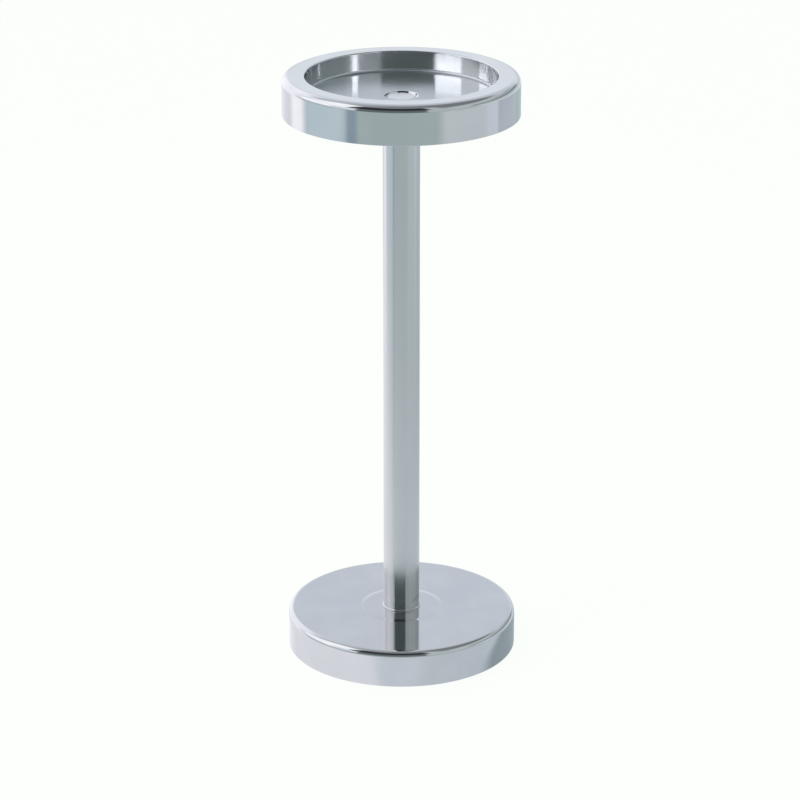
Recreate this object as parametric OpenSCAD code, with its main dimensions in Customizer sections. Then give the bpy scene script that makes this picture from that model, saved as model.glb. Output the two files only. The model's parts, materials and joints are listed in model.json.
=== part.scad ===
// Champagne bucket stand.
// A round dish takes the foot of the bucket. It stands on one straight pole, on a weighted drum.
// A tie rod inside the pole clamps the dish, the pole and the base together.
// Millimetres, +Z up. The origin is the centre of the footprint, on the floor.

/* [Overall] */
// Height from the floor to the top of the rim
total_height = 620; // [520:5:700]
// Thickness of the drawn stainless sheet of the dish and the base cover
sheet = 1.2; // [1:0.1:1.5]

/* [Dish] */
// Outer diameter of the dish
dish_diameter = 240; // [232:1:260]
// Height of the skirt
skirt_height = 40; // [38:1:50]
// Diameter of the recess that takes the bucket's foot
recess_diameter = 194; // [180:1:204]
// Depth of the recess below the rim
recess_depth = 21; // [15:1:22]
// Radius of the rim's outer corner
rim_corner = 7.5; // [3:0.5:8]
// Radius of the rim's inner edge
rim_edge = 1.5; // [0.5:0.5:2]
// Radius between the wall and the floor of the recess
recess_fillet = 2.5; // [1.5:0.5:4]
// Diameter of the dimple in the middle of the recess
dimple_diameter = 34; // [33:0.5:36]
// Depth of the dimple
dimple_depth = 2.5; // [2.4:0.1:3]
// Slope of the dimple's wall, in degrees from the floor
dimple_slope = 65; // [55:1:75]
// Diameter of the plate under the recess
plate_diameter = 150; // [120:5:170]
// Height of the closing plate above the skirt's lower edge
underplate_inset = 3; // [2.5:0.5:5]

/* [Pole] */
// Outer diameter of the pole
pole_diameter = 38; // [35:0.5:45]
// Wall of the pole
pole_wall = 1.5; // [1:0.25:2]
// Height of the flange at the pole's foot
flange_height = 2.2; // [2:0.2:4]
// Length of the spigot inside the pole's foot
spigot_length = 16; // [10:1:30]

/* [Base] */
// Outer diameter of the base
base_diameter = 240; // [236:1:280]
// Height of the base, from the floor to its flat top
base_height = 40; // [38:1:50]
// Radius of the base's top corner
base_corner = 6; // [3:0.5:8]
// Diameter of the raised land round the pole's foot
land_diameter = 87; // [70:1:110]
// Height of the raised land above the top
land_rise = 0.5; // [0.3:0.1:1]
// Width of the slope round the land's edge
land_slope = 4; // [2:0.5:8]
// Gap between the floor and the cover's lower edge
floor_gap = 1; // [0.5:0.5:2]
// Thickness of the ballast's web
web_thickness = 12; // [8:1:14]

/* [Fasteners] */
// Diameter of the tie rod
rod_diameter = 10; // [8:1:10]
// Diameter of the flat head of the cap nut
cap_diameter = 28; // [26:0.5:29]
// Diameter of the foot screws
screw_diameter = 5; // [4:0.5:5]
// Number of rubber feet
foot_count = 4; // [3:1:6]
// Diameter of a rubber foot
foot_diameter = 24; // [20:1:26]

/* [Hidden] */
$fn = 128;
overlap = 1;
clearance = 0.25;
cover_sheet = 1.5;

dish_radius = dish_diameter / 2;
dish_bottom = total_height - skirt_height;
recess_radius = recess_diameter / 2;
recess_floor = total_height - recess_depth;
dimple_radius = dimple_diameter / 2;
dimple_floor = recess_floor - dimple_depth;
dimple_run = dimple_depth / tan(dimple_slope);
dimple_shift = sheet * tan(dimple_slope / 2);
plate_top = recess_floor - sheet;
plate_bottom = dimple_floor - sheet;
plate_hole_radius = dimple_radius + dimple_shift + clearance;

pole_radius = pole_diameter / 2;
pole_bore = pole_radius - pole_wall;
socket_radius = pole_radius + 11;
socket_bottom = dish_bottom + underplate_inset + cover_sheet;
socket_web = 4.3;
pole_top = plate_bottom - socket_web;

base_radius = base_diameter / 2;
cover_radius = base_radius - sheet;
land_radius = land_diameter / 2;
land_top = base_height + land_rise;
flange_lip = 1;
flange_cove = flange_height - flange_lip;
flange_radius = pole_radius + flange_cove;
pole_bottom = land_top + flange_height;
pin_radius = 2;
pin_offset = 12;
pin_depth = 8;

foot_height = 5;
ballast_bottom = foot_height + cover_sheet;
ballast_top = base_height - sheet;
ballast_radius = cover_radius - 2.8;
ballast_corner = base_corner + 2;
ballast_ring = 22;
boss_radius = 24;
boss_bottom = ballast_bottom + 14.5;
foot_circle = ballast_radius - ballast_ring / 2 - 1;

rod_radius = rod_diameter / 2;
rod_hole = rod_radius + 0.5;
rod_bottom = ballast_bottom + 0.7;
sleeve_radius = rod_radius + 2;
sleeve_bottom = plate_bottom - 19;
cap_top = recess_floor - 1.1;
cap_edge = 0.6;
cap_wall = 3;
rod_top = cap_top - cap_wall - 2;
washer_thickness = 2.5;
nut_flats = 16;
nut_height = 8;

screw_radius = screw_diameter / 2;
screw_head_top = 3.4;
screw_length = 16;
small_screw_radius = 1.5;
small_screw_length = 8;
small_screw_circle = pole_radius + 5.5;
small_screw_count = 3;

// ---- Shared outlines. Each is a half section: x is the radius and y is the height.

// A block from the axis out to r, with its upper outer corner rounded
module drum_outline(r, height, corner) {
  square([r - corner, height]);
  square([r, height - corner]);
  translate([r - corner, height - corner]) circle(corner);
}

// The same block hung from the rim, which is the shape of the recess
module hung_outline(r, depth, corner) {
  translate([0, total_height]) mirror([0, 1]) drum_outline(r, depth, corner);
}

// A round bar with both ends chamfered
module chamfered_bar(r, bottom, top, chamfer) {
  rotate_extrude() polygon([
    [0, bottom], [r - chamfer, bottom], [r, bottom + chamfer],
    [r, top - chamfer], [r - chamfer, top], [0, top]
  ]);
}

// A tube or ring between two heights
module ring(outer, inner, bottom, top) {
  translate([0, 0, bottom]) difference() {
    cylinder(r = outer, h = top - bottom);
    translate([0, 0, -overlap]) cylinder(r = inner, h = top - bottom + 2 * overlap);
  }
}

// A drilled hole between two heights
module drill(r, bottom, top) {
  translate([0, 0, bottom]) cylinder(r = r, h = top - bottom);
}

// A hexagonal prism, measured across its flats
module hexagon(flats, bottom, top) {
  translate([0, 0, bottom]) cylinder(r = flats / sqrt(3), h = top - bottom, $fn = 6);
}

// Copies of a part at every rubber foot
module at_feet() {
  for (i = [0 : foot_count - 1])
    rotate([0, 0, (i + 0.5) * 360 / foot_count]) translate([foot_circle, 0, 0]) children();
}

// Copies of a part at every screw of the dish's closing plate
module at_small_screws() {
  for (i = [0 : small_screw_count - 1])
    rotate([0, 0, 90 + i * 360 / small_screw_count]) translate([small_screw_circle, 0, 0])
      children();
}

// Radius and height of a pan head on a screw of radius r
function head_radius(r) = 1.9 * r;
function head_height(r) = 1.1 * r;

// Pan-headed screw with a cross recess, driven upwards. Its head ends at head_top.
module pan_screw(r, head_top, length) {
  slot = 0.4 * r;
  difference() {
    union() {
      translate([0, 0, head_top]) mirror([0, 0, 1]) rotate_extrude()
        drum_outline(head_radius(r), head_height(r), 0.4 * r);
      drill(r, head_top - head_height(r) / 2, head_top + length);
    }
    for (turn = [0, 90]) rotate([0, 0, turn])
      translate([-r, -slot / 2, head_top - 1.5 * head_height(r)])
        cube([2 * r, slot, head_height(r)]);
  }
}

// Copies of a part at both dowel pins
module at_pins() {
  for (side = [-1, 1]) translate([side * pin_offset, 0, 0]) children();
}

// ---- Dish

// The recess, with its rounded mouth and the dimple in its floor
module recess_outline() {
  hung_outline(recess_radius, recess_depth, recess_fillet);
  difference() {
    translate([recess_radius - overlap, total_height - rim_edge])
      square([rim_edge + overlap, rim_edge + overlap]);
    translate([recess_radius + rim_edge, total_height - rim_edge]) circle(rim_edge);
  }
  polygon([
    [0, dimple_floor], [dimple_radius - dimple_run, dimple_floor],
    [dimple_radius, recess_floor], [dimple_radius, recess_floor + overlap],
    [0, recess_floor + overlap]
  ]);
}

// The recess seen from below, one sheet thickness larger all round
module recess_underside() {
  hung_outline(recess_radius + sheet, recess_depth + sheet, recess_fillet + sheet);
  polygon([
    [0, plate_bottom], [dimple_radius - dimple_run + dimple_shift, plate_bottom],
    [dimple_radius + dimple_shift, plate_top], [dimple_radius + dimple_shift, recess_floor],
    [0, recess_floor]
  ]);
}

// The open hollow inside the skirt
module skirt_hollow() {
  difference() {
    translate([0, dish_bottom - overlap])
      drum_outline(dish_radius - sheet, skirt_height - sheet + overlap, rim_corner - sheet);
    recess_underside();
  }
}

module dish_shell() {
  color("silver") difference() {
    rotate_extrude() difference() {
      translate([0, dish_bottom]) drum_outline(dish_radius, skirt_height, rim_corner);
      recess_outline();
      skirt_hollow();
    }
    drill(sleeve_radius + clearance, plate_bottom - overlap, recess_floor);
  }
}

// Flat-headed sleeve nut: its plain head fills the dimple, and its thread takes the tie rod
module cap_nut() {
  color("gainsboro") difference() {
    rotate_extrude() {
      translate([0, dimple_floor])
        drum_outline(cap_diameter / 2, cap_top - dimple_floor, cap_edge);
      translate([0, sleeve_bottom]) square([sleeve_radius, dimple_floor - sleeve_bottom]);
    }
    drill(rod_radius, sleeve_bottom - overlap, cap_top - cap_wall);
  }
}

module support_plate() {
  color("darkgray") ring(plate_diameter / 2, plate_hole_radius, plate_bottom, plate_top);
}

// Turned socket that holds the top of the pole square to the dish
module pole_socket() {
  color("dimgray") difference() {
    translate([0, 0, plate_bottom]) mirror([0, 0, 1]) rotate_extrude()
      drum_outline(socket_radius, plate_bottom - socket_bottom, 2);
    drill(pole_radius + 0.1, socket_bottom - overlap, pole_top);
    drill(sleeve_radius + clearance, socket_bottom, plate_bottom + overlap);
    at_small_screws()
      drill(small_screw_radius, socket_bottom - overlap, socket_bottom + small_screw_length);
  }
}

// Closes the hollow of the dish from below
module dish_underplate() {
  bottom = socket_bottom - cover_sheet;
  color("silver") difference() {
    ring(dish_radius - sheet - clearance, pole_radius + clearance, bottom, socket_bottom);
    at_small_screws()
      drill(small_screw_radius + clearance, bottom - overlap, socket_bottom + overlap);
  }
}

module underplate_screws() {
  color("gainsboro") at_small_screws()
    pan_screw(small_screw_radius, socket_bottom - cover_sheet, small_screw_length);
}

// ---- Pole

module pole_tube() {
  color("lightsteelblue") ring(pole_radius, pole_bore, pole_bottom, pole_top);
}

module tie_rod() {
  color("slategray") chamfered_bar(rod_radius, rod_bottom, rod_top, 1);
}

// Turned foot: a coved flange that shows under the pole, and a spigot inside the pole
module foot_spigot() {
  color("lightgray") translate([0, 0, land_top]) difference() {
    rotate_extrude() {
      difference() {
        square([flange_radius, flange_height]);
        translate([flange_radius, flange_height]) circle(flange_cove);
      }
      translate([0, flange_height]) square([pole_bore - 0.05, spigot_length]);
    }
    drill(rod_hole, -overlap, flange_height + spigot_length + overlap);
    at_pins() drill(pin_radius, -overlap, pin_depth);
  }
}

module dowel_pins() {
  color("gray") at_pins()
    chamfered_bar(pin_radius, land_top - sheet - pin_depth, land_top + pin_depth - 0.5, 0.4);
}

// ---- Base

// The land with its sloping edge, and all that is under it, lowered by drop
module land_outline(drop) {
  polygon([
    [0, 0], [land_radius, 0], [land_radius, base_height - drop],
    [land_radius - land_slope, land_top - drop], [0, land_top - drop]
  ]);
}

// Drawn cover, with a slightly raised land that the foot of the pole stands on
module base_shell() {
  inner_height = base_height - sheet - floor_gap;
  color("silver") difference() {
    rotate_extrude() difference() {
      union() {
        translate([0, floor_gap])
          drum_outline(base_radius, base_height - floor_gap, base_corner);
        land_outline(0);
      }
      translate([0, floor_gap - overlap])
        drum_outline(cover_radius, inner_height + overlap, base_corner - sheet);
      land_outline(sheet);
    }
    drill(rod_hole, base_height - 2 * sheet, land_top + overlap);
    at_pins() drill(pin_radius + 0.05, base_height - 2 * sheet, land_top + overlap);
  }
}

// Cast-iron weight: a web under the cover, a deep ring round the edge and a boss in the middle
module ballast() {
  color("darkslategray") difference() {
    rotate_extrude() difference() {
      union() {
        translate([0, ballast_bottom])
          drum_outline(ballast_radius, ballast_top - ballast_bottom, ballast_corner);
        land_outline(sheet);
      }
      square([ballast_radius - ballast_ring, boss_bottom]);
      translate([boss_radius, 0])
        square([ballast_radius - ballast_ring - boss_radius, ballast_top - web_thickness]);
    }
    drill(rod_hole, boss_bottom - overlap, land_top);
    at_pins() drill(pin_radius, land_top - sheet - pin_depth, land_top);
    at_feet() drill(screw_radius, ballast_bottom - overlap, screw_head_top + screw_length + 2);
  }
}

module flat_washer() {
  color("lightgray")
    ring(rod_radius * 3, rod_hole, boss_bottom - washer_thickness, boss_bottom);
}

// Split lock washer
module spring_washer() {
  top = boss_bottom - washer_thickness;
  color("gray") difference() {
    ring(rod_radius + 4, rod_hole, top - washer_thickness, top);
    translate([0, -0.75, top - washer_thickness - overlap])
      cube([2 * rod_diameter, 1.5, washer_thickness + 2 * overlap]);
  }
}

module hex_nut() {
  top = boss_bottom - 2 * washer_thickness;
  color("lightgray") difference() {
    hexagon(nut_flats, top - nut_height, top);
    drill(rod_radius, top - nut_height - overlap, top + overlap);
  }
}

module bottom_plate() {
  color("darkgray") difference() {
    drill(cover_radius - 1, foot_height, ballast_bottom);
    at_feet() drill(screw_radius + clearance, foot_height - overlap, ballast_bottom + overlap);
  }
}

module rubber_feet() {
  color("#222222") at_feet() difference() {
    translate([0, 0, foot_height]) mirror([0, 0, 1]) rotate_extrude()
      drum_outline(foot_diameter / 2, foot_height, 1);
    drill(head_radius(screw_radius) + 0.5, -overlap, screw_head_top);
    drill(screw_radius + clearance, 0, foot_height + overlap);
  }
}

module foot_screws() {
  color("gainsboro") at_feet() pan_screw(screw_radius, screw_head_top, screw_length);
}

dish_shell();
cap_nut();
support_plate();
pole_socket();
dish_underplate();
underplate_screws();
pole_tube();
tie_rod();
foot_spigot();
dowel_pins();
base_shell();
ballast();
flat_washer();
spring_washer();
hex_nut();
bottom_plate();
rubber_feet();
foot_screws();
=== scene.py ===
"""Looks of a champagne bucket stand, in Blender 4.5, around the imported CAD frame.

The dish, the pole and the base's cover are lathed here with fine, exact normals, because a mirror
shows every facet. Every other piece keeps its CAD mesh and gets a material.
Metres, +Z up, the origin on the floor under the pole. The camera stands on the -Y side.
"""

import json
import math

import bpy
import numpy as np
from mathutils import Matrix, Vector


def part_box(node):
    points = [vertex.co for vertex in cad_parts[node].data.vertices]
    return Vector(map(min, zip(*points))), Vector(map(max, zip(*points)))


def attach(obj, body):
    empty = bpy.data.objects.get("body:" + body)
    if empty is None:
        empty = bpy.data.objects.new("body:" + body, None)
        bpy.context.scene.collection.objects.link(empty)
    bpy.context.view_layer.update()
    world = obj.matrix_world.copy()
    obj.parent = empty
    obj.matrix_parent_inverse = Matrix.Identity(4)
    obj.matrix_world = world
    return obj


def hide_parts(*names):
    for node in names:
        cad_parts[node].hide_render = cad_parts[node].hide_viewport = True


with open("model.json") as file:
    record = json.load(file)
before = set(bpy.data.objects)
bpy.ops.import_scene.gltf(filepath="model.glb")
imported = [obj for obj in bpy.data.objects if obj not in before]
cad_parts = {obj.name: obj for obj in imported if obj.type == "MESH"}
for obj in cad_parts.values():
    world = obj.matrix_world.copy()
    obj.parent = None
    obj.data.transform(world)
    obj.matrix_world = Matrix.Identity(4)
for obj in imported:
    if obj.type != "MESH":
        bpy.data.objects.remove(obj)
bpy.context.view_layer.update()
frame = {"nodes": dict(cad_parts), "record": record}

MM = 0.001
SEGMENTS = 256
ARC_STEP = math.radians(7.5)

# ---- Sizes: boxes from the frame, and the small radii and thicknesses that the CAD model uses. EDGE,
# DIMPLE_EDGE and LAND_BEND are how far this model rounds corners that are sharp in the CAD.

MOUNTS = {mount["name"]: mount for mount in frame["record"]["mounts"]}
SHEET = 1.2 * MM
EDGE = 0.3 * MM
SLACK = 0.01 * MM

dish_low, dish_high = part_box("dish_shell")
DISH_RADIUS = dish_high.x
RIM = dish_high.z
SKIRT_BOTTOM = dish_low.z
RECESS_RADIUS = MOUNTS["bucket_recess"]["dims"]["r_mm"] * MM
RECESS_FLOOR = MOUNTS["bucket_seat"]["pos_m"][2]
RIM_CORNER = 7.5 * MM
RIM_EDGE = 1.5 * MM
RECESS_FILLET = 2.5 * MM
DIMPLE_RADIUS = 17 * MM
DIMPLE_DEPTH = 2.5 * MM
DIMPLE_WALL_SLOPE = math.radians(65)
DIMPLE_FLOOR_RADIUS = DIMPLE_RADIUS - DIMPLE_DEPTH / math.tan(DIMPLE_WALL_SLOPE)
DIMPLE_EDGE = 0.8 * MM
SLEEVE_HOLE = 7.25 * MM

pole_low, pole_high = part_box("pole_tube")
POLE_RADIUS = pole_high.x
POLE_WALL = 1.5 * MM

base_low, base_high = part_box("base_shell")
BASE_RADIUS = base_high.x
BASE_BOTTOM = base_low.z
LAND_TOP = base_high.z
LAND_RADIUS = 43.5 * MM
LAND_RISE = 0.5 * MM
LAND_SLOPE = 4 * MM
LAND_BEND = 28 * MM
BASE_TOP = LAND_TOP - LAND_RISE
BASE_CORNER = 6 * MM
ROD_HOLE = 5.5 * MM


# ---- Lathe

def rounded_loop(corners):
    """Points and outward normals of a closed outline whose corners are rounded.

    Each corner is (radius from the axis, height, rounding). The metal is on the left of the path.
    """
    points = []
    normals = []
    count = len(corners)
    for i in range(count):
        before = np.array(corners[i - 1][:2])
        here = np.array(corners[i][:2])
        after = np.array(corners[(i + 1) % count][:2])
        rounding = corners[i][2]
        along_in = (here - before) / np.linalg.norm(here - before)
        along_out = (after - here) / np.linalg.norm(after - here)
        turn = math.atan2(
            along_in[0] * along_out[1] - along_in[1] * along_out[0], float(along_in @ along_out)
        )
        right_in = np.array([along_in[1], -along_in[0]])
        side = 1 if turn > 0 else -1
        start = here - along_in * rounding * math.tan(abs(turn) / 2)
        centre = start - side * right_in * rounding
        steps = max(2, math.ceil(abs(turn) / ARC_STEP))
        for k in range(steps + 1):
            angle = turn * k / steps
            normal = np.array([
                right_in[0] * math.cos(angle) - right_in[1] * math.sin(angle),
                right_in[0] * math.sin(angle) + right_in[1] * math.cos(angle),
            ])
            points.append(centre + side * normal * rounding)
            normals.append(normal)
    return points, normals


def lathe(name, corners, node, segments=SEGMENTS):
    """A ring-shaped solid turned from a rounded outline, which stands for a CAD node."""
    points, normals = rounded_loop(corners)
    rows = len(points)
    angles = [2 * math.pi * s / segments for s in range(segments)]
    spokes = [(math.cos(a), math.sin(a)) for a in angles]
    vertices = [(r * c, r * s, z) for c, s in spokes for r, z in points]
    vertex_normals = [(r * c, r * s, z) for c, s in spokes for r, z in normals]
    faces = []
    for s in range(segments):
        here = s * rows
        there = (s + 1) % segments * rows
        for k in range(rows):
            up = (k + 1) % rows
            faces.append((here + k, there + k, there + up, here + up))
    mesh = bpy.data.meshes.new(name)
    mesh.from_pydata(vertices, [], faces)
    mesh.shade_smooth()
    mesh.normals_split_custom_set_from_vertices(vertex_normals)
    mesh.update()
    piece = bpy.data.objects.new(name, mesh)
    bpy.context.scene.collection.objects.link(piece)
    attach(piece, "root")
    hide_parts(node)
    return piece


def make_dish():
    under = RECESS_FLOOR - SHEET
    dimple_floor = RECESS_FLOOR - DIMPLE_DEPTH
    dimple_under = dimple_floor - SHEET
    shift = SHEET * math.tan(DIMPLE_WALL_SLOPE / 2)
    skirt_inside = DISH_RADIUS - SHEET
    return lathe("dish", [
        (skirt_inside, SKIRT_BOTTOM, EDGE),
        (DISH_RADIUS, SKIRT_BOTTOM, EDGE),
        (DISH_RADIUS, RIM, RIM_CORNER),
        (RECESS_RADIUS, RIM, RIM_EDGE),
        (RECESS_RADIUS, RECESS_FLOOR, RECESS_FILLET),
        (DIMPLE_RADIUS, RECESS_FLOOR, DIMPLE_EDGE),
        (DIMPLE_FLOOR_RADIUS, dimple_floor, DIMPLE_EDGE),
        (SLEEVE_HOLE, dimple_floor, EDGE),
        (SLEEVE_HOLE, dimple_under, EDGE),
        (DIMPLE_FLOOR_RADIUS + shift, dimple_under, EDGE),
        (DIMPLE_RADIUS + shift, under, EDGE),
        (RECESS_RADIUS + SHEET, under, RECESS_FILLET + SHEET),
        (RECESS_RADIUS + SHEET, RIM - SHEET, EDGE),
        (skirt_inside, RIM - SHEET, RIM_CORNER - SHEET),
    ], "dish_shell")


def make_pole():
    inside = POLE_RADIUS - POLE_WALL
    return lathe("pole", [
        (inside, pole_low.z, EDGE),
        (POLE_RADIUS, pole_low.z, EDGE),
        (POLE_RADIUS, pole_high.z, EDGE),
        (inside, pole_high.z, EDGE),
    ], "pole_tube")


def make_base():
    inside = BASE_RADIUS - SHEET
    under = BASE_TOP - SHEET
    return lathe("base_cover", [
        (inside, BASE_BOTTOM, EDGE),
        (BASE_RADIUS, BASE_BOTTOM, EDGE),
        (BASE_RADIUS, BASE_TOP, BASE_CORNER),
        (LAND_RADIUS, BASE_TOP, LAND_BEND),
        (LAND_RADIUS - LAND_SLOPE, LAND_TOP, LAND_BEND),
        (ROD_HOLE, LAND_TOP, EDGE),
        (ROD_HOLE, LAND_TOP - SHEET, EDGE),
        (LAND_RADIUS - LAND_SLOPE, LAND_TOP - SHEET, EDGE),
        (LAND_RADIUS, under, EDGE),
        (inside, under, BASE_CORNER - SHEET),
    ], "base_shell")


# ---- Shader nodes

class Nodes:
    """A short way to write node trees."""

    def __init__(self, tree):
        self.tree = tree
        tree.nodes.clear()

    def new(self, kind, inputs=(), **settings):
        node = self.tree.nodes.new(kind)
        for name, value in settings.items():
            setattr(node, name, value)
        for socket, value in dict(inputs).items():
            self.feed(node.inputs[socket], value)
        return node

    def feed(self, socket, value):
        if isinstance(value, bpy.types.NodeSocket):
            self.tree.links.new(value, socket)
        else:
            socket.default_value = value

    def math(self, operation, *values):
        node = self.new("ShaderNodeMath", enumerate(values), operation=operation)
        return node.outputs[0]

    def ease(self, value, start, end, low=0.0, high=1.0):
        """low before start, high after end, and a smooth change between them."""
        node = self.new("ShaderNodeMapRange", {
            "Value": value, "From Min": start, "From Max": end, "To Min": low, "To Max": high,
        }, interpolation_type="SMOOTHSTEP")
        return node.outputs[0]

    def mix(self, factor, first, second):
        node = self.new("ShaderNodeMix", data_type="RGBA")
        self.feed(node.inputs[0], factor)
        self.feed(node.inputs[6], first)
        self.feed(node.inputs[7], second)
        return node.outputs[2]


def linear(*levels):
    """A linear colour from levels of 0 to 255 as a screen shows them."""
    colour = []
    for level in levels:
        v = level / 255
        colour.append(v / 12.92 if v <= 0.04045 else ((v + 0.055) / 1.055) ** 2.4)
    return (*colour, 1.0)


# ---- Materials

def new_material(name):
    material = bpy.data.materials.new(name)
    material.use_nodes = True
    nodes = Nodes(material.node_tree)
    shader = nodes.new("ShaderNodeBsdfPrincipled")
    output = nodes.new("ShaderNodeOutputMaterial")
    material.node_tree.links.new(shader.outputs[0], output.inputs[0])
    place = nodes.new("ShaderNodeTexCoord").outputs["Object"]
    return material, nodes, shader, place


def radius_of(nodes, place):
    """Distance from the stand's axis."""
    x, y, z = nodes.new("ShaderNodeSeparateXYZ", {0: place}).outputs
    squares = nodes.math("ADD", nodes.math("MULTIPLY", x, x), nodes.math("MULTIPLY", y, y))
    return nodes.math("SQRT", squares), z


def rings(nodes, place, scale, detail=3.0, roughness=0.6):
    """Noise that only changes with the height and the distance from the axis: turning marks."""
    across, height = radius_of(nodes, place)
    ring = nodes.new("ShaderNodeCombineXYZ", {0: across, 1: height})
    return noise(nodes, ring.outputs[0], scale, detail, roughness)


def noise(nodes, place, scale, detail, roughness):
    texture = nodes.new("ShaderNodeTexNoise", {
        "Vector": place, "Scale": scale, "Detail": detail, "Roughness": roughness,
    })
    return texture.outputs[0]


def paint(nodes, shader, amount, first, second):
    """Base colour between two linear colours."""
    nodes.feed(shader.inputs["Base Color"], nodes.mix(amount, (*first, 1), (*second, 1)))


def emboss(nodes, shader, height, strength, distance):
    bump = nodes.new("ShaderNodeBump", {
        "Height": height, "Strength": strength, "Distance": distance,
    })
    nodes.feed(shader.inputs["Normal"], bump.outputs[0])


def smear(nodes, shader, amount):
    """Stretches reflections one way on a surface turned about the axis."""
    shader.inputs["Anisotropic"].default_value = amount
    tangent = nodes.new("ShaderNodeTangent", direction_type="RADIAL", axis="Z")
    nodes.feed(shader.inputs["Tangent"], tangent.outputs[0])


def polished_steel():
    """Mirror polish: faint buffing lines round the axis, and hand marks in the gloss."""
    material, nodes, shader, place = new_material("polished_steel")
    lines = rings(nodes, place, 900.0)
    clean = nodes.ease(noise(nodes, place, 22.0, 4.0, 0.55), 0.35, 0.75)
    shader.inputs["Metallic"].default_value = 1.0
    paint(nodes, shader, clean, (0.54, 0.55, 0.56), (0.58, 0.585, 0.59))
    gloss = nodes.math("MULTIPLY_ADD", lines, 0.03, 0.035)
    nodes.feed(shader.inputs["Roughness"], nodes.math("MULTIPLY_ADD", clean, 0.03, gloss))
    emboss(nodes, shader, lines, 0.02, 0.2 * MM)
    return material


def drawn_pole():
    """The pole, polished while it turned: reflections smear along it, and stay sharp across it."""
    material, nodes, shader, place = new_material("drawn_pole")
    height = radius_of(nodes, place)[1]
    along = nodes.new("ShaderNodeCombineXYZ", {1: height}).outputs[0]
    lines = noise(nodes, along, 1100.0, 3.0, 0.6)
    smudges = noise(nodes, place, 22.0, 4.0, 0.55)
    shader.inputs["Metallic"].default_value = 1.0
    shader.inputs["Anisotropic Rotation"].default_value = 0.25
    smear(nodes, shader, 0.9)
    paint(nodes, shader, smudges, (0.54, 0.55, 0.56), (0.58, 0.585, 0.59))
    nodes.feed(shader.inputs["Roughness"], nodes.math("MULTIPLY_ADD", lines, 0.05, 0.12))
    emboss(nodes, shader, lines, 0.02, 0.2 * MM)
    return material


def turned_floor():
    """The recess's floor: turned rings that smear reflections towards and away from the axis."""
    material, nodes, shader, place = new_material("turned_floor")
    lines = rings(nodes, place, 1400.0)
    smudges = noise(nodes, place, 30.0, 4.0, 0.55)
    shader.inputs["Metallic"].default_value = 1.0
    smear(nodes, shader, 0.6)
    paint(nodes, shader, lines, (0.51, 0.54, 0.56), (0.56, 0.585, 0.6))
    gloss = nodes.math("MULTIPLY_ADD", lines, 0.06, 0.24)
    nodes.feed(shader.inputs["Roughness"], nodes.math("MULTIPLY_ADD", smudges, 0.05, gloss))
    emboss(nodes, shader, lines, 0.04, 0.2 * MM)
    return material


def turned_steel():
    """Lathe-turned steel: fine rings round the axis under a polish."""
    material, nodes, shader, place = new_material("turned_steel")
    lines = rings(nodes, place, 1800.0, 2.0, 0.5)
    shader.inputs["Metallic"].default_value = 1.0
    paint(nodes, shader, lines, (0.50, 0.51, 0.52), (0.58, 0.585, 0.59))
    nodes.feed(shader.inputs["Roughness"], nodes.math("MULTIPLY_ADD", lines, 0.10, 0.06))
    emboss(nodes, shader, lines, 0.08, 0.2 * MM)
    return material


def plated_steel():
    """Zinc plate: a cool grey with a slight yellow passivation and small handling marks."""
    material, nodes, shader, place = new_material("plated_steel")
    clouds = noise(nodes, place, 90.0, 5.0, 0.6)
    marks = nodes.new("ShaderNodeTexVoronoi", {"Vector": place, "Scale": 700.0})
    shader.inputs["Metallic"].default_value = 1.0
    tone = nodes.ease(clouds, 0.35, 0.7)
    paint(nodes, shader, tone, (0.55, 0.57, 0.60), (0.66, 0.65, 0.60))
    nodes.feed(shader.inputs["Roughness"], nodes.math("MULTIPLY_ADD", clouds, 0.22, 0.22))
    emboss(nodes, shader, marks.outputs[0], 0.15, 0.3 * MM)
    return material


def satin_steel():
    """Rolled sheet with its straight grain left on."""
    material, nodes, shader, place = new_material("satin_steel")
    stretch = nodes.new("ShaderNodeMapping", {"Vector": place, "Scale": (18.0, 2400.0, 2400.0)})
    grain = noise(nodes, stretch.outputs[0], 1.0, 3.0, 0.6)
    shader.inputs["Metallic"].default_value = 1.0
    paint(nodes, shader, grain, (0.60, 0.60, 0.61), (0.74, 0.74, 0.75))
    nodes.feed(shader.inputs["Roughness"], nodes.math("MULTIPLY_ADD", grain, 0.18, 0.24))
    emboss(nodes, shader, grain, 0.12, 0.2 * MM)
    return material


def cast_iron():
    """As cast, under thin black primer: sand texture and small pits."""
    material, nodes, shader, place = new_material("cast_iron")
    sand = noise(nodes, place, 700.0, 6.0, 0.65)
    pits = nodes.new("ShaderNodeTexVoronoi", {"Vector": place, "Scale": 160.0})
    pit = nodes.ease(pits.outputs[0], 0.05, 0.25)
    paint(nodes, shader, sand, (0.035, 0.035, 0.038), (0.11, 0.105, 0.10))
    nodes.feed(shader.inputs["Roughness"], nodes.math("MULTIPLY_ADD", sand, 0.25, 0.6))
    emboss(nodes, shader, nodes.math("MULTIPLY_ADD", pit, 0.5, sand), 0.5, 0.8 * MM)
    return material


def rubber():
    """Moulded black rubber with a fine matt texture and some dust."""
    material, nodes, shader, place = new_material("rubber")
    fine = noise(nodes, place, 1500.0, 3.0, 0.5)
    dusty = nodes.ease(noise(nodes, place, 60.0, 5.0, 0.6), 0.5, 0.8)
    paint(nodes, shader, dusty, (0.018, 0.018, 0.019), (0.06, 0.058, 0.055))
    nodes.feed(shader.inputs["Roughness"], nodes.math("MULTIPLY_ADD", fine, 0.2, 0.62))
    emboss(nodes, shader, fine, 0.2, 0.3 * MM)
    return material


MATERIALS = {
    "polished_steel": polished_steel(),
    "drawn_pole": drawn_pole(),
    "turned_floor": turned_floor(),
    "turned_steel": turned_steel(),
    "plated_steel": plated_steel(),
    "satin_steel": satin_steel(),
    "cast_iron": cast_iron(),
    "rubber": rubber(),
}


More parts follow.
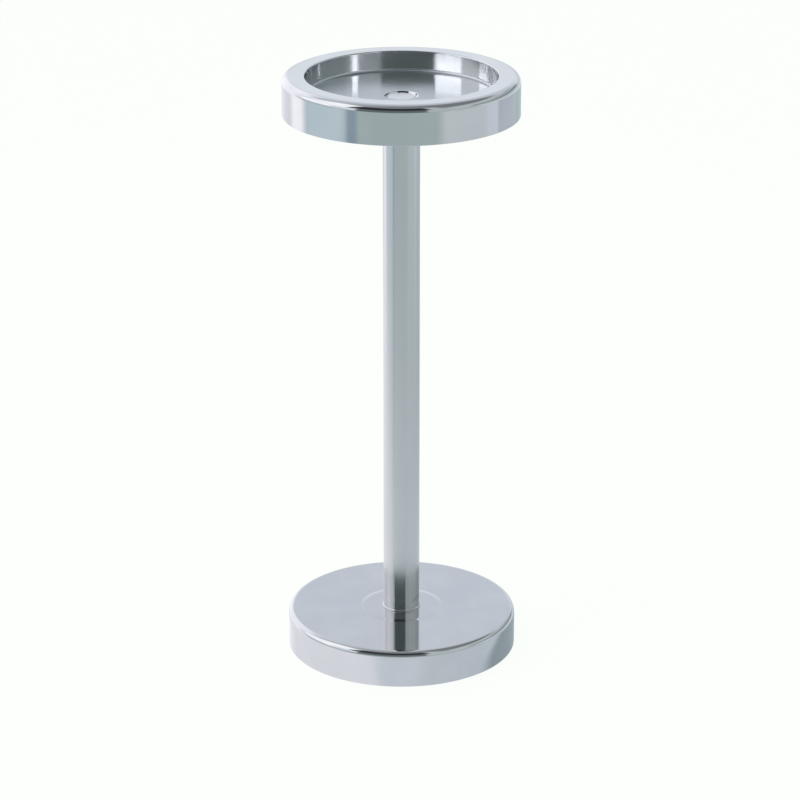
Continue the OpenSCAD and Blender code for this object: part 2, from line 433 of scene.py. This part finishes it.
def dress(piece, *names):
    """Gives a piece the named materials, and no others."""
    piece.data.materials.clear()
    for name in names:
        piece.data.materials.append(MATERIALS[name])


def dress_dish(dish):
    """Polished all over, except the floor of the recess and its fillet, which are turned."""
    dress(dish, "polished_steel", "turned_floor")
    for face in dish.data.polygons:
        corners = [dish.data.vertices[v].co for v in face.vertices]
        low = all(-SLACK < corner.z - RECESS_FLOOR < RECESS_FILLET for corner in corners)
        inside = all(corner.xy.length < RECESS_RADIUS + SLACK for corner in corners)
        face.material_index = 1 if low and inside else 0


dress_dish(make_dish())
dress(make_pole(), "drawn_pole")
dress(make_base(), "polished_steel")

SLOTS = {part["node"]: part["material_slot"] for part in frame["record"]["subparts"]}
for name, node in frame["nodes"].items():
    dress(node, SLOTS[name])

# ---- Studio: what the polish mirrors. Azimuth 0 is the camera's side and 90 is +X. Angles are in
# degrees.

# Levels are what the polish shows after one reflection, and lamps are over 255. The polish gives
# back a little over half of the light, so the room is this much brighter than its levels.
STUDIO_STRENGTH = 1.77

# The room by elevation, from the table under the stand to the ceiling
BANDS = [
    (-90, (226, 228, 230)), (-30, (208, 210, 215)),
    (-24.3, (184, 190, 198)), (-23.2, (171, 178, 181)),
    (-20, (152, 164, 165)), (-15, (156, 168, 169)), (-6, (150, 160, 162)), (2, (168, 173, 178)),
    (8, (184, 190, 196)), (15, (201, 206, 212)), (24, (186, 191, 200)), (44, (186, 190, 196)),
    (60, (172, 176, 181)), (75, (146, 150, 154)), (90, (126, 130, 134)),
]

# Each panel: azimuths it lies between, elevations it lies between, softness of its sides and of its
# top and bottom, lean of its sides per degree of elevation, and its colour.
PANELS = {
    # the table
    "table, far left": ((-192, -108), (-40, -18.5), (24, 2), 0, (206, 206, 212)),
    "table, left, reaching forward": ((-124, -24), (-34, -17), (14, 2), -9.5, (211, 212, 217)),
    "table, back left": ((-172, -108), (-17.5, -2), (24, 2), 0, (192, 192, 198)),
    "table, left of the middle": ((-106, -55), (-16.6, -8), (20, 0.8), 0, (178, 191, 199)),
    "table, bright strip": ((-131, -108), (-18, -8), (14, 2), 0, (236, 234, 240)),
    "dark edge on the table": ((-54, -43), (-19.5, -8), (7, 2), 0, (130, 145, 156)),
    "table, right": ((39, 106), (-16.6, -12), (12, 0.8), 0, (182, 188, 192)),
    "table, right edge": ((90, 107), (-16.6, -12), (8, 0.8), 0, (189, 196, 204)),
    "table, right and back": ((108, 144), (-16.8, -12), (8, 1), 0, (166, 173, 181)),
    "far side of the table": ((78, 172), (-12, 0), (12, 5), 0, (194, 198, 205)),
    "table, front right": ((20, 110), (-27, -23.6), (24, 1), 0, (177, 184, 191)),
    # the right side of the room
    "right wall": ((28, 128), (-3, 40), (12, 10), 0, (174, 181, 184)),
    "right wall, front": ((26, 52), (6, 44), (10, 8), 0, (168, 175, 178)),
    "right wall, back": ((104, 150), (19, 31), (14, 5), 0, (158, 165, 168)),
    "right wall, dim stretch": ((70, 152), (9, 19), (12, 3), 0, (113, 131, 129)),
    "ceiling, right": ((45, 144), (40, 110), (16, 12), 0, (113, 118, 121)),
    # the left side of the room
    "left wall": ((-142, -44), (0, 40), (8, 8), 0, (205, 210, 218)),
    "left wall, lit stretch": ((-112, -72), (8, 24), (8, 6), 0, (246, 246, 250)),
    "left wall, bright": ((-168, -118), (-12, 42), (16, 16), 0, (230, 230, 236)),
    "high softbox": ((-108, -54), (25, 62), (12, 12), 0, (242, 243, 246)),
    # behind the camera
    "dark room": ((-44, 25), (-4, 30), (5, 8), 0, (92, 101, 100)),
    "dim ceiling, front": ((-66, 60), (60, 120), (14, 12), 0, (122, 126, 130)),
    "dark room, high": ((-57, 30), (27, 62), (7, 10), 0, (46, 49, 51)),
}

# The softboxes that stand round the dish: the azimuths that each lies between, and its colour.
# All stand at one distance, at the height where the recess mirrors them.
SOFTBOXES = {
    "softbox.wide": ((-84, -45.2), (445, 445, 450)),
    "softbox.narrow": ((-138, -117), (430, 428, 437)),
    "softbox.strip": ((59.5, 67.5), (470, 466, 474)),
}
SOFTBOX_DISTANCE = 0.5
SOFTBOX_HEIGHTS = (0.10, 0.18)
SOFTBOX_STEPS = 12


def within(nodes, off, half, softness):
    """1 where off is well under half, 0 where it is well over, with a soft edge between."""
    return nodes.ease(off, half - softness / 2, half + softness / 2, 1.0, 0.0)


def build_world():
    world = bpy.data.worlds.new("studio")
    bpy.context.scene.world = world
    world.use_nodes = True
    nodes = Nodes(world.node_tree)
    direction = nodes.new("ShaderNodeTexCoord").outputs["Generated"]
    x, y, z = nodes.new("ShaderNodeSeparateXYZ", {0: direction}).outputs
    azimuth = nodes.math("DEGREES", nodes.math("ARCTAN2", x, nodes.math("MULTIPLY", y, -1.0)))
    elevation = nodes.math("DEGREES", nodes.math("ARCSINE", z))
    colour = linear(*BANDS[0][1])
    for (low, _), (high, shade) in zip(BANDS, BANDS[1:]):
        ramp = nodes.new("ShaderNodeMapRange", {
            "Value": elevation, "From Min": low, "From Max": high,
        })
        colour = nodes.mix(ramp.outputs[0], colour, linear(*shade))
    for sides, heights, (side, top), lean, shade in PANELS.values():
        above = nodes.math("SUBTRACT", elevation, sum(heights) / 2)
        centre = nodes.math("MULTIPLY_ADD", above, lean, sum(sides) / 2)
        off = nodes.math("WRAP", nodes.math("SUBTRACT", azimuth, centre), 180.0, -180.0)
        inside = within(nodes, nodes.math("ABSOLUTE", off), (sides[1] - sides[0]) / 2, side)
        level = within(nodes, nodes.math("ABSOLUTE", above), (heights[1] - heights[0]) / 2, top)
        colour = nodes.mix(nodes.math("MULTIPLY", inside, level), colour, linear(*shade))
    backdrop = nodes.new("ShaderNodeBackground", {"Color": linear(252, 255, 251)})
    studio = nodes.new("ShaderNodeBackground", {"Color": colour, "Strength": STUDIO_STRENGTH})
    seen = nodes.new("ShaderNodeLightPath").outputs["Is Camera Ray"]
    mixed = nodes.new("ShaderNodeMixShader", {0: seen, 1: studio.outputs[0], 2: backdrop.outputs[0]})
    output = nodes.new("ShaderNodeOutputWorld")
    world.node_tree.links.new(mixed.outputs[0], output.inputs[0])


def build_floor():
    """A pale floor that glows almost evenly, so that only a trace of shadow stays on it."""
    half = 30.0
    mesh = bpy.data.meshes.new("floor")
    corners = [(-half, -half, 0), (half, -half, 0), (half, half, 0), (-half, half, 0)]
    mesh.from_pydata(corners, [], [(0, 1, 2, 3)])
    floor = bpy.data.objects.new("floor", mesh)
    bpy.context.scene.collection.objects.link(floor)
    floor.visible_glossy = False
    material, nodes, shader, place = new_material("pale_floor")
    grain = noise(nodes, place, 3.0, 2.0, 0.5)
    paint(nodes, shader, grain, (0.05, 0.05, 0.05), (0.054, 0.054, 0.054))
    shader.inputs["Roughness"].default_value = 1.0
    shader.inputs["Specular IOR Level"].default_value = 0.0
    shader.inputs["Emission Color"].default_value = linear(252, 255, 251)
    shader.inputs["Emission Strength"].default_value = 0.96
    mesh.materials.append(material)


def new_glow(name):
    material = bpy.data.materials.new(name)
    material.use_nodes = True
    nodes = Nodes(material.node_tree)
    return material, nodes, nodes.new("ShaderNodeOutputMaterial")


def put_card(name, corners, faces, material):
    """A thin card on the stage that shows only in the polish."""
    mesh = bpy.data.meshes.new(name)
    mesh.from_pydata(corners, [], faces)
    mesh.materials.append(material)
    card = bpy.data.objects.new(name, mesh)
    bpy.context.scene.collection.objects.link(card)
    card.visible_camera = False
    card.visible_diffuse = False
    card.visible_shadow = False
    return card


# The stand's soft shade on the table, a round patch to the right of the base
SHADE_RADIUS = 106 * MM
SHADE_CENTRE = (80 * MM, 14 * MM, 0.3 * MM)
SHADE_EDGE = 20 * MM
SHADE_CORNERS = 64
SHADE_COLOUR = (134, 145, 150)


def build_shade():
    material, nodes, output = new_glow("shade")
    place = nodes.new("ShaderNodeTexCoord").outputs["Object"]
    across, _ = radius_of(nodes, place)
    edge = nodes.ease(across, SHADE_RADIUS - SHADE_EDGE, SHADE_RADIUS)
    glow = nodes.new("ShaderNodeEmission", {
        "Color": linear(*SHADE_COLOUR), "Strength": STUDIO_STRENGTH,
    })
    clear = nodes.new("ShaderNodeBsdfTransparent")
    blend = nodes.new("ShaderNodeMixShader", {0: edge, 1: glow.outputs[0], 2: clear.outputs[0]})
    nodes.feed(output.inputs[0], blend.outputs[0])
    turns = [2 * math.pi * k / SHADE_CORNERS for k in range(SHADE_CORNERS)]
    ring = [(SHADE_RADIUS * math.cos(a), SHADE_RADIUS * math.sin(a), 0) for a in turns]
    put_card("shade", ring, [range(SHADE_CORNERS)], material).location = SHADE_CENTRE


def build_softboxes():
    """The softboxes, standing round the dish. They show only after a second reflection, as in the
    recess, so that they leave no glints on the outer corners.
    """
    low, high = (RECESS_FLOOR + height for height in SOFTBOX_HEIGHTS)
    for name, ((first, last), shade) in SOFTBOXES.items():
        corners = []
        for k in range(SOFTBOX_STEPS + 1):
            azimuth = math.radians(first + (last - first) * k / SOFTBOX_STEPS)
            x = SOFTBOX_DISTANCE * math.sin(azimuth)
            y = -SOFTBOX_DISTANCE * math.cos(azimuth)
            corners += [(x, y, low), (x, y, high)]
        faces = [(2 * k, 2 * k + 2, 2 * k + 3, 2 * k + 1) for k in range(SOFTBOX_STEPS)]
        material, nodes, output = new_glow(name)
        glow = nodes.new("ShaderNodeEmission", {
            "Color": linear(*shade), "Strength": STUDIO_STRENGTH,
        })
        clear = nodes.new("ShaderNodeBsdfTransparent")
        depth = nodes.new("ShaderNodeLightPath").outputs["Ray Depth"]
        twice = nodes.math("GREATER_THAN", depth, 1.0)
        blend = nodes.new("ShaderNodeMixShader", {0: twice, 1: clear.outputs[0], 2: glow.outputs[0]})
        nodes.feed(output.inputs[0], blend.outputs[0])
        put_card(name, corners, faces, material)


def build_light():
    """One large softbox overhead, off to the left. The polish mirrors the world instead of it."""
    data = bpy.data.lights.new("overhead_softbox", "AREA")
    data.shape = "DISK"
    data.size = 1.6
    data.energy = 14.0
    light = bpy.data.objects.new("overhead_softbox", data)
    light.location = (-0.8, -0.7, 2.2)
    aim = Vector((0, 0, 0.3)) - light.location
    light.rotation_euler = aim.to_track_quat("-Z", "Y").to_euler()
    light.visible_glossy = False
    bpy.context.scene.collection.objects.link(light)


# A long lens, a little over three metres away, looking down at the stand
CAMERA_PLACE = (0.0, -3.0948, 1.4318)
CAMERA_PITCH = 20.535
CAMERA_LENS = 143.2
CAMERA_SHIFT = -0.0018


def build_camera():
    data = bpy.data.cameras.new("camera")
    data.lens = CAMERA_LENS
    data.sensor_width = 36.0
    data.shift_x = CAMERA_SHIFT
    camera = bpy.data.objects.new("camera", data)
    camera.location = CAMERA_PLACE
    camera.rotation_euler = (math.radians(90 - CAMERA_PITCH), 0.0, 0.0)
    bpy.context.scene.collection.objects.link(camera)
    bpy.context.scene.camera = camera


build_world()
build_floor()
build_shade()
build_softboxes()
build_light()
build_camera()
bpy.context.scene.view_settings.view_transform = "Standard"
